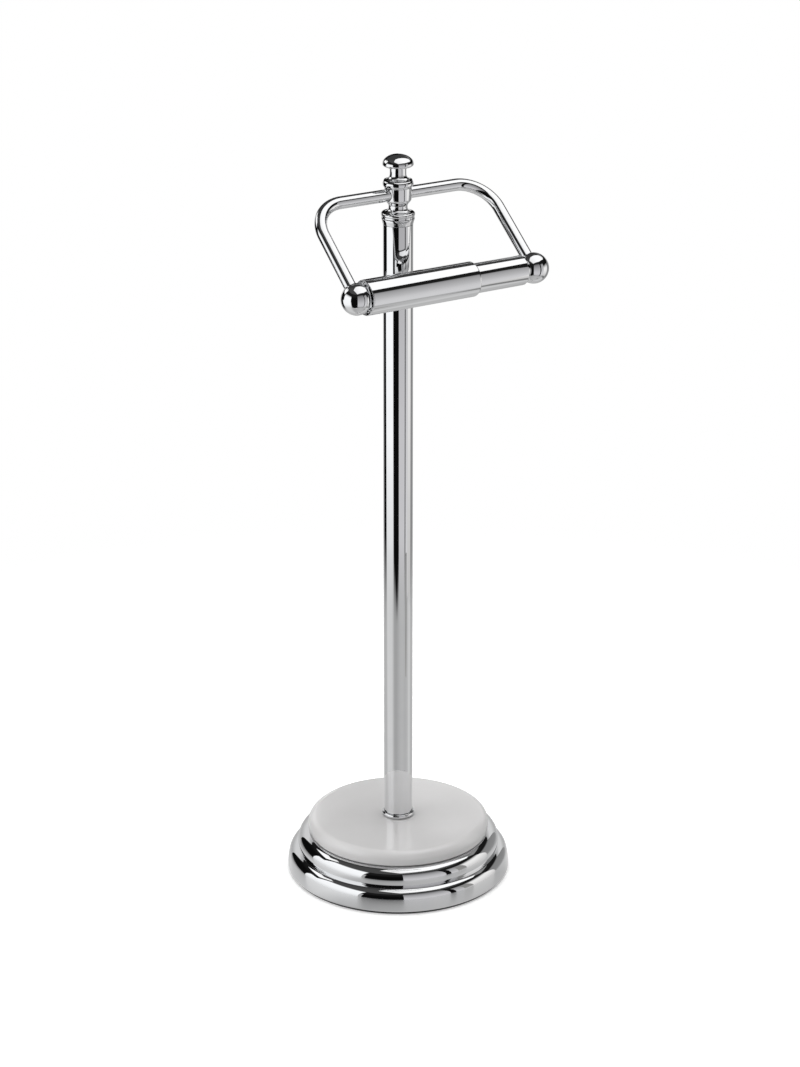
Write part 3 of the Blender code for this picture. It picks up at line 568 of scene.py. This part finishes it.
# Balls
# Two balls, turned, polished and chrome plated. Each is bored for its end of the rod, on which it is
# fixed, and has a socket for the pin of the roller.
ball_radius = 0.0105
ball_bore_gap = 0.0003
socket_depth = 0.0050
pin_hole_radius = 0.0027
ball_outside = ball_radius + overrun
wire_bore_end = wire_end_short - ball_bore_gap
socket_floor = ball_radius - socket_depth
ball_side = arc((0, 0), ball_radius, ball_radius, 90, -90, points=72)[1:-1]
ball_outline = [(0, ball_radius), *ball_side, (0, -ball_radius)]
for name, node_name, centre, arm, inward in (
        ("ball_left_turned", "ball_left", ball_centres[0], arms[0], Vector((1, 0, 0))),
        ("ball_right_turned", "ball_right", ball_centres[1], arms[1], Vector((-1, 0, 0)))):
    upright = arm.to_track_quat("Z", "X").to_matrix().to_4x4()
    ball = turned(name, ball_outline, facets=128, place=Matrix.Translation(centre) @ upright)
    bored(ball, wire_bore_radius, centre + arm * wire_bore_end, centre + arm * ball_outside)
    bored(ball, pin_hole_radius, centre + inward * socket_floor, centre + inward * ball_outside)
    finish_piece(ball, chrome, "chrome", "stand", node_name)


# Roller
# Two drawn sleeves, one sliding in the other. The wide one has a lip round the left ball and a mouth
# rolled in on the narrow one, whose flange stops there. A turned plug closes each outer end.
roller_place = Matrix.Translation(on_hoop(0, hoop_reach)) @ Matrix.Rotation(math.pi / 2, 4, "Y")
roller_chrome = chrome_plate("roller_chrome_plate", roughest=0.045)
ball_face = ball_span / 2 - ball_radius
sleeve_gap = 0.0003
outer_radius = 0.0118
outer_wall = 0.0009
outer_bore = outer_radius - outer_wall
inner_radius = 0.01005
inner_bore = 0.00905
lip_reach = 0.0050
lip_round = 0.0010
mouth_place = 0.0203
mouth_roll = 0.0015
mouth_radius = inner_radius + sleeve_gap
mouth_crown = mouth_radius + outer_wall / 2
roll_start = mouth_place - mouth_roll
lip_centre = (outer_radius - outer_wall / 2, -ball_face - lip_reach + lip_round)
outer_outline = [(mouth_radius, mouth_place)]
outer_outline += arc((mouth_crown, roll_start), outer_radius - mouth_crown, mouth_roll, 90, 0, points=14)
outer_outline += arc(lip_centre, outer_wall / 2, lip_round, 0, -180, points=18)
outer_outline += [(outer_bore, roll_start), (mouth_radius, mouth_place - outer_wall)]
outer_sleeve = turned("roller_outer_sleeve_drawn", outer_outline, facets=256, closed=True, place=roller_place)
finish_piece(outer_sleeve, roller_chrome, "roller_chrome", "roller_outer", "roller_outer_sleeve")

sleeve_edge = 0.0004
sleeve_overlap = 0.0303
stop_flange_width = 0.0020
stop_flange_radius = outer_bore - sleeve_gap
inner_tail = mouth_place - sleeve_overlap
inner_rim = (inner_radius - sleeve_edge, ball_face - sleeve_edge)
inner_outline = [(inner_bore, ball_face)]
inner_outline += arc(inner_rim, sleeve_edge, sleeve_edge, 90, 0, points=8)
inner_outline += [(inner_radius, inner_tail + stop_flange_width)]
inner_outline += [(stop_flange_radius, inner_tail + stop_flange_width), (stop_flange_radius, inner_tail)]
inner_outline += [(inner_bore, inner_tail)]
inner_sleeve = turned("roller_inner_sleeve_drawn", inner_outline, facets=128, closed=True, place=roller_place)
finish_piece(inner_sleeve, roller_chrome, "roller_chrome", "roller_inner", "roller_inner_sleeve")

pin_radius = 0.0024
pin_chamfer = 0.0005
plug_length = 0.0067
seat_radius = 0.0055
seat_length = 0.0060
cap_face = ball_face - sleeve_gap
for name, node_name, body, plug_radius, flip in (
        ("roller_outer_cap_turned", "roller_outer_cap", "roller_outer", outer_bore - sleeve_gap, math.pi),
        ("roller_inner_cap_turned", "roller_inner_cap", "roller_inner", inner_bore - sleeve_gap, 0)):
    cap_outline = [(0, socket_depth), (pin_radius - pin_chamfer, socket_depth)]
    cap_outline += [(pin_radius, socket_depth - pin_chamfer), (pin_radius, 0), (plug_radius, 0)]
    cap_outline += [(plug_radius, -plug_length), (seat_radius, -plug_length)]
    cap_outline += [(seat_radius, -plug_length - seat_length + pin_chamfer)]
    cap_outline += [(seat_radius - pin_chamfer, -plug_length - seat_length), (0, -plug_length - seat_length)]
    outwards = Matrix.Rotation(flip, 4, "X") @ Matrix.Translation((0, 0, cap_face))
    cap = turned(name, cap_outline, facets=64, place=roller_place @ outwards)
    finish_piece(cap, roller_chrome, "roller_chrome", body, node_name)


# Spring
# A compression spring of drawn steel wire between the two plugs, with closed curls at both ends. It
# pushes the narrow sleeve outwards, so that the pins stay in the balls.
def coil_tree(material):
    """Coil: a helix with nearly closed end curls and an even pitch between, swept by a round wire."""
    tree, given = growing_tree("coil", {"Wire radius": "Float", "Coil radius": "Float", "Length": "Float",
                                        "End pitch": "Float", "Curls": "Float", "Points a curl": "Int",
                                        "Sides": "Int"})
    nodes, links = tree.nodes, tree.links

    def feed(socket, source):
        """Link a socket to another node's output, or set it to a number."""
        if isinstance(source, bpy.types.NodeSocket):
            links.new(source, socket)
        else:
            socket.default_value = source

    def arithmetic(operation, first, second):
        """The sum, difference or product of two outputs or numbers."""
        node = nodes.new("ShaderNodeMath")
        node.operation = operation
        feed(node.inputs[0], first)
        feed(node.inputs[1], second)
        return node.outputs["Value"]

    def rise_between(value, start, end, rise):
        """0 until the value passes start, then an even rise until it passes end."""
        node = nodes.new("ShaderNodeMapRange")
        for label, source in (("Value", value), ("From Min", start), ("From Max", end), ("To Max", rise)):
            feed(node.inputs[label], source)
        return node.outputs["Result"]

    curls = given.outputs["Curls"]
    end_pitch = given.outputs["End pitch"]
    length = given.outputs["Length"]
    helix = nodes.new("GeometryNodeCurveSpiral")
    helix.inputs["Height"].default_value = 0.0
    links.new(given.outputs["Points a curl"], helix.inputs["Resolution"])
    links.new(curls, helix.inputs["Rotations"])
    links.new(given.outputs["Coil radius"], helix.inputs["Start Radius"])
    links.new(given.outputs["Coil radius"], helix.inputs["End Radius"])
    along = nodes.new("GeometryNodeSplineParameter")
    turn = arithmetic("MULTIPLY", along.outputs["Factor"], curls)
    last_curl = arithmetic("SUBTRACT", curls, 1.0)
    open_length = arithmetic("SUBTRACT", length, arithmetic("MULTIPLY", end_pitch, 2.0))
    first_rise = rise_between(turn, 0.0, 1.0, end_pitch)
    open_rise = rise_between(turn, 1.0, last_curl, open_length)
    last_rise = rise_between(turn, last_curl, curls, end_pitch)
    height = arithmetic("ADD", arithmetic("ADD", first_rise, open_rise), last_rise)
    height = arithmetic("SUBTRACT", height, arithmetic("MULTIPLY", length, 0.5))
    lift = nodes.new("ShaderNodeCombineXYZ")
    links.new(height, lift.inputs["Z"])
    moved = nodes.new("GeometryNodeSetPosition")
    links.new(helix.outputs["Curve"], moved.inputs["Geometry"])
    links.new(lift.outputs["Vector"], moved.inputs["Offset"])
    sweep_wire(tree, given, moved.outputs["Geometry"], material)
    return tree


spring_steel = mottled("spring_steel", dark=(0.30, 0.30, 0.31), light=(0.44, 0.44, 0.45), metallic=1.0,
                       roughness=(0.25, 0.4), scale=900.0, relief_depth=0.000005)
spring_wire_radius = 0.0005
spring_coil_radius = 0.0065
spring_end_pitch = 0.0018
spring_end = cap_face - plug_length - sleeve_gap - spring_wire_radius
spring_sizes = {"Wire radius": spring_wire_radius, "Coil radius": spring_coil_radius,
                "Length": 2 * spring_end, "End pitch": spring_end_pitch, "Curls": 14.0,
                "Points a curl": 32, "Sides": 12}
spring_start = bpy.data.meshes.new("spring_start")
spring = grown("roller_spring_coil", spring_start, coil_tree(spring_steel), spring_sizes)
spring.data.transform(roller_place)
finish_piece(spring, spring_steel, "spring_steel", "roller_outer", "roller_spring")
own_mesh(spring)


# Studio sheets
# Glowing sheets that only metal and glaze see: a white box on the left and on the right, grey and white
# reflectors between and behind, a low overhead box, and dark cloth and a dim ceiling round them all.
camera_turn = -0.587879


def in_studio(azimuth, distance, height):
    """A point of the studio: azimuth 0 is towards the camera, and it grows to the right."""
    angle = camera_turn + math.radians(azimuth)
    return Vector((distance * math.sin(angle), -distance * math.cos(angle), height))


def stage_panel(name, corners, material):
    """A flat sheet of the studio, which only metal and glaze see."""
    mesh = bpy.data.meshes.new(name)
    mesh.from_pydata(corners, [], [tuple(range(len(corners)))])
    mesh.materials.append(material)
    panel = bpy.data.objects.new(name, mesh)
    panel.visible_camera = False
    panel.visible_diffuse = False
    panel.visible_shadow = False
    bpy.context.scene.collection.objects.link(panel)
    return panel


def standing_panel(name, first, last, low, high, distance, material, corner=0.0):
    """An upright sheet between two azimuths. A corner above 0 rounds its upper right end."""
    left, right = in_studio(first, distance, low), in_studio(last, distance, low)
    across = (right - left).normalized()
    up = Vector((0, 0, high - low))
    rounding = arc((-corner, -corner), corner, corner, 0, 90, points=9) if corner else [(0, 0)]
    end = [right + up + across * out + Vector((0, 0, rise)) for out, rise in rounding]
    stage_panel(name, [left, right, *end, left + up], material)


def glow(name, stops, colour=(1.0, 1.0, 1.0), axis="Z"):
    """Light whose strength changes along an axis: stops of (place, strength), lowest place first."""
    material = bpy.data.materials.new(name)
    material.use_nodes = True
    nodes, links = material.node_tree.nodes, material.node_tree.links
    nodes.remove(nodes["Principled BSDF"])
    lit = nodes.new("ShaderNodeEmission")
    lit.inputs["Color"].default_value = (*colour, 1.0)
    place = nodes.new("ShaderNodeTexCoord")
    split = nodes.new("ShaderNodeSeparateXYZ")
    links.new(place.outputs["Object"], split.inputs["Vector"])
    strength = None
    for (low, low_strength), (high, high_strength) in zip(stops, stops[1:]):
        step = nodes.new("ShaderNodeMapRange")
        step.inputs["From Min"].default_value = low
        step.inputs["From Max"].default_value = high
        step.inputs["To Max"].default_value = high_strength - low_strength
        links.new(split.outputs[axis], step.inputs["Value"])
        total = nodes.new("ShaderNodeMath")
        links.new(step.outputs["Result"], total.inputs[0])
        if strength:
            links.new(strength, total.inputs[1])
        else:
            total.inputs[1].default_value = low_strength
        strength = total.outputs["Value"]
    links.new(strength, lit.inputs["Strength"])
    links.new(lit.outputs["Emission"], nodes["Material Output"].inputs["Surface"])
    return material


left_light = glow("left_light", [(-0.10, 0.82), (0.05, 0.98), (0.16, 1.14), (0.30, 1.18), (0.64, 1.22),
                                 (0.74, 0.75), (0.80, 0.05)], (0.98, 0.99, 1.0))
left_edge_grey = glow("left_edge_grey", [(0.0, 0.42), (0.30, 0.46)])
front_grey = glow("front_grey", [(-0.35, 0.58), (-0.12, 0.69), (0.10, 0.68), (0.28, 0.62), (0.85, 0.34),
                                 (1.05, 0.24), (1.25, 0.05)], (0.985, 0.975, 1.0))
side_grey = glow("side_grey", [(-0.60, 0.76), (-0.10, 0.71), (0.45, 0.585), (1.30, 0.43), (1.62, 0.34),
                               (1.78, 0.02)], (0.99, 0.985, 1.0))
side_foot_grey = glow("side_foot_grey", [(-1.5, 0.50), (-1.2, 0.50)])
right_light = glow("right_light", [(-0.16, 0.64), (0.0, 0.76), (0.12, 0.88), (0.28, 1.0), (0.45, 1.04),
                                   (0.56, 0.60), (0.66, 0.05)], (1.0, 0.99, 0.98))
right_foot_grey = glow("right_foot_grey", [(-0.6, 0.25), (-0.1, 0.25)])
flag_grey = glow("flag_grey", [(0.015, 0.42), (0.05, 0.32), (0.15, 0.30)], (1.0, 0.985, 0.96))
rear_grey = glow("rear_grey", [(0.0, 0.30), (0.55, 0.26), (0.65, 0.02)])
rear_white = glow("rear_white", [(0.0, 0.45), (0.35, 0.75), (0.52, 0.75), (0.62, 0.40)])
flap_white = glow("flap_white", [(0.70, 1.0), (0.80, 1.3), (1.20, 1.0)])
panel_foot = -0.45
flag_distance = 0.25
left_distance = 0.72
right_distance = 0.85
flap_distance = 0.90
back_distance = 0.95
right_foot_distance = 1.0
front_distance = 1.1
far_distance = 2.3
far_foot_distance = 2.45
standing_panel("left_box_rear", -103, -93, panel_foot, 0.36, left_distance, left_light)
standing_panel("left_box", -93, -38.5, panel_foot, 0.80, left_distance, left_light)
standing_panel("left_box_edge", -38.5, -35, panel_foot, 0.36, left_distance, left_edge_grey)
standing_panel("front_reflector", 5.5, 52.2, panel_foot, 1.25, front_distance, front_grey, corner=0.12)
standing_panel("side_reflector", 60, 80, 1.0, 1.78, far_distance, side_grey)
standing_panel("side_reflector_low", 59.2, 80, -1.3, 1.0, far_distance, side_grey)
standing_panel("side_reflector_foot", 58, 84, -2.4, -1.2, far_foot_distance, side_foot_grey)
standing_panel("low_flag", 60, 70, 0.015, 0.15, flag_distance, flag_grey)
standing_panel("right_box", 78, 111, -0.16, 0.66, right_distance, right_light)
standing_panel("right_box_foot", 82, 112, -0.60, -0.10, right_foot_distance, right_foot_grey)
standing_panel("rear_reflector", 111, 146, panel_foot, 0.65, front_distance, rear_grey)
standing_panel("rear_sheet", 146, 180, panel_foot, 0.62, front_distance, rear_white)
standing_panel("back_sheet", 186, 221, panel_foot, 0.62, back_distance, rear_white)
standing_panel("back_flap", 222, 257, 0.72, 1.22, flap_distance, flap_white)

overhead_light = glow("overhead_light", [(-0.3, 1.0), (0.15, 1.25)], axis="X")
overhead_height = 1.0
overhead_corners = ((-0.28, -0.47), (0.30, -0.45), (0.62, -0.27), (0.88, -0.12), (0.88, 0.10), (0.62, 0.20),
                    (0.0, 0.14), (-0.26, -0.02))
stage_panel("overhead_box", [Vector((x, y, overhead_height)) for x, y in overhead_corners], overhead_light)
spill_light = glow("spill_light", [(0.3, 0.05), (0.62, 0.05), (0.95, 0.28)], axis="X")
spill_height = 1.02
spill_corners = ((-0.10, 0.10), (1.10, 0.0), (1.10, 0.90), (-0.40, 0.90))
stage_panel("overhead_spill", [Vector((x, y, spill_height)) for x, y in spill_corners], spill_light)

dark_cloth = glow("dark_cloth", [(0.0, 0.004), (1.2, 0.004), (2.0, 0.013)])
cloth_distance = 2.6
cloth_foot = -2.5
ceiling_height = 3.2
cloth_sheets = 12
cloth_step = 360 / cloth_sheets
for i in range(cloth_sheets):
    standing_panel(f"dark_cloth_{i}", cloth_step * i, cloth_step * (i + 1), cloth_foot, ceiling_height,
                   cloth_distance, dark_cloth)
dim_ceiling = glow("dim_ceiling", [(0.0, 0.07), (1.0, 0.07)])
ceiling_corners = [in_studio(cloth_step * i, cloth_distance, ceiling_height) for i in range(cloth_sheets)]
stage_panel("dim_ceiling", ceiling_corners, dim_ceiling)


# Table
# A round pale table that fades into white paper at its edge. The camera sees its paint and the stand's
# shadow; the chrome sees a painted reflection of the lit table, a glowing level in each direction, and a
# dull mirror where it looks along it.
def by_bearing(material, bearing, levels):
    """A level that changes with the direction from the column: pairs of (azimuth, level)."""
    ramp = material.node_tree.nodes.new("ShaderNodeValToRGB")
    stops = ramp.color_ramp.elements
    while len(stops) < len(levels):
        stops.new(0.5)
    for stop, (azimuth, level) in zip(stops, levels):
        stop.position = 0.5 + azimuth / 360
        stop.color = (level, level, level, 1.0)
    material.node_tree.links.new(bearing, ramp.inputs["Fac"])
    return ramp.outputs["Color"]


camera_lift = 0.32
# Painted reflection: how bright the lit table looks in the chrome, as a glow for each azimuth
painted_table_reflection_levels = ((-180, 0.60), (-112, 0.58), (-92, 0.72), (-52, 0.70), (-34, 0.50), (-18, 0.46), (4, 0.52),
                (30, 0.56), (62, 0.54), (80, 0.56), (98, 0.72), (106, 0.70), (118, 0.56), (180, 0.60))
edge_starts = ((-180, 0.38), (55, 0.38), (66, 0.46), (108, 0.46), (120, 0.38), (180, 0.38))
edge_ends = ((-180, 0.72), (-44, 0.72), (-8, 0.46), (6, 0.70), (55, 0.72), (66, 0.50), (108, 0.50),
             (120, 0.72), (180, 0.72))
floor_paint = plain_finish("floor_paint", {"Base Color": (0.80, 0.80, 0.80, 1.0), "Roughness": 0.5,
                                           "Specular IOR Level": 0.0, "Emission Color": (1.0, 1.0, 1.0, 1.0)})
nodes, links = floor_paint.node_tree.nodes, floor_paint.node_tree.links

# The paint, a little brighter to the camera
paint = nodes["Principled BSDF"]
path = nodes.new("ShaderNodeLightPath")
lift = nodes.new("ShaderNodeMath")
lift.operation = "MULTIPLY"
lift.inputs[1].default_value = camera_lift
links.new(path.outputs["Is Camera Ray"], lift.inputs[0])
links.new(lift.outputs["Value"], paint.inputs["Emission Strength"])

# The table in reflections, as painted light: a glowing level for each direction from the column
place = nodes.new("ShaderNodeTexCoord")
turn = nodes.new("ShaderNodeMapping")
turn.inputs["Rotation"].default_value = (0.0, 0.0, math.pi / 2 - camera_turn)
links.new(place.outputs["Object"], turn.inputs["Vector"])
bearing = nodes.new("ShaderNodeTexGradient")
bearing.gradient_type = "RADIAL"
links.new(turn.outputs["Vector"], bearing.inputs["Vector"])
table = nodes.new("ShaderNodeEmission")
links.new(by_bearing(floor_paint, bearing.outputs["Fac"], painted_table_reflection_levels), table.inputs["Color"])
mirror = nodes.new("ShaderNodeBsdfAnisotropic")
mirror.inputs["Color"].default_value = (1.0, 1.0, 1.0, 1.0)
mirror.inputs["Roughness"].default_value = 0.25
grazing = nodes.new("ShaderNodeFresnel")
grazing.inputs["IOR"].default_value = 1.45
glossy_table = nodes.new("ShaderNodeMixShader")
links.new(grazing.outputs["Fac"], glossy_table.inputs["Fac"])
links.new(table.outputs["Emission"], glossy_table.inputs[1])
links.new(mirror.outputs["BSDF"], glossy_table.inputs[2])
seen_in_metal = nodes.new("ShaderNodeMixShader")
links.new(path.outputs["Is Glossy Ray"], seen_in_metal.inputs["Fac"])
links.new(paint.outputs["BSDF"], seen_in_metal.inputs[1])
links.new(glossy_table.outputs["Shader"], seen_in_metal.inputs[2])

# The fade at the edge
reach = nodes.new("ShaderNodeVectorMath")
reach.operation = "LENGTH"
links.new(place.outputs["Object"], reach.inputs[0])
edge_fade = nodes.new("ShaderNodeMapRange")
edge_fade.interpolation_type = "SMOOTHSTEP"
links.new(by_bearing(floor_paint, bearing.outputs["Fac"], edge_starts), edge_fade.inputs["From Min"])
links.new(by_bearing(floor_paint, bearing.outputs["Fac"], edge_ends), edge_fade.inputs["From Max"])
links.new(reach.outputs["Value"], edge_fade.inputs["Value"])
beyond = nodes.new("ShaderNodeBsdfTransparent")
faded = nodes.new("ShaderNodeMixShader")
links.new(edge_fade.outputs["Result"], faded.inputs["Fac"])
links.new(seen_in_metal.outputs["Shader"], faded.inputs[1])
links.new(beyond.outputs["BSDF"], faded.inputs[2])
links.new(faded.outputs["Shader"], nodes["Material Output"].inputs["Surface"])

floor_radius = 0.75
floor_sides = 72
floor_corners = [in_studio(360 * i / floor_sides, floor_radius, 0) for i in range(floor_sides)]
floor = stage_panel("floor", floor_corners, floor_paint)
floor.visible_camera = True
floor.visible_diffuse = True
floor.visible_shadow = True


# White surroundings and lamps
# White paper all round: full white to the camera and in reflections, and half as strong as a light.
# Two soft lamps, one overhead and one low on the left, light the glaze and the table.
world = bpy.data.worlds.new("studio")
bpy.context.scene.world = world
world.use_nodes = True
nodes, links = world.node_tree.nodes, world.node_tree.links
surround = nodes["Background"]
surround.inputs["Color"].default_value = (1.0, 1.0, 1.0, 1.0)
path = nodes.new("ShaderNodeLightPath")
seen = nodes.new("ShaderNodeMath")
seen.operation = "MAXIMUM"
seen_too = nodes.new("ShaderNodeMath")
seen_too.operation = "MAXIMUM"
links.new(path.outputs["Is Camera Ray"], seen.inputs[0])
links.new(path.outputs["Is Glossy Ray"], seen.inputs[1])
links.new(seen.outputs["Value"], seen_too.inputs[0])
links.new(path.outputs["Is Transmission Ray"], seen_too.inputs[1])
level = nodes.new("ShaderNodeMapRange")
level.inputs["To Min"].default_value = 0.50
level.inputs["To Max"].default_value = 1.0
links.new(seen_too.outputs["Value"], level.inputs["Value"])
links.new(level.outputs["Result"], surround.inputs["Strength"])

lamp_aim_height = 0.2
for name, azimuth, elevation, distance, width, height, power in (
        ("overhead_lamp", 160, 80, 1.9, 1.8, 1.6, 31),
        ("left_lamp", -70, 18, 1.8, 1.6, 1.6, 12)):
    lamp = bpy.data.lights.new(name, "AREA")
    lamp.shape = "RECTANGLE"
    lamp.size = width
    lamp.size_y = height
    lamp.energy = power
    box = bpy.data.objects.new(name, lamp)
    aim = Matrix.Translation((0, 0, lamp_aim_height))
    swing = Matrix.Rotation(camera_turn + math.radians(azimuth), 4, "Z")
    tilt = Matrix.Rotation(math.radians(90 - elevation), 4, "X")
    box.matrix_world = aim @ swing @ tilt @ Matrix.Translation((0, 0, distance))
    box.visible_camera = False
    box.visible_glossy = False
    bpy.context.scene.collection.objects.link(box)


# Camera
# It stands where the photograph was taken from: about 34 degrees left of the front, and looking about 20
# degrees downwards.
camera_dip = 0.35515
camera = bpy.data.objects.new("camera", bpy.data.cameras.new("camera"))
camera.data.lens = 94.47
camera.data.sensor_width = 36.0
camera.data.clip_start = 0.05
camera.location = (-1.01436, -1.52428, 0.93528)
camera.rotation_euler = (math.pi / 2 - camera_dip, 0, camera_turn)
bpy.context.scene.collection.objects.link(camera)
bpy.context.scene.camera = camera
bpy.context.scene.view_settings.view_transform = "Standard"

bpy.context.view_layer.update()
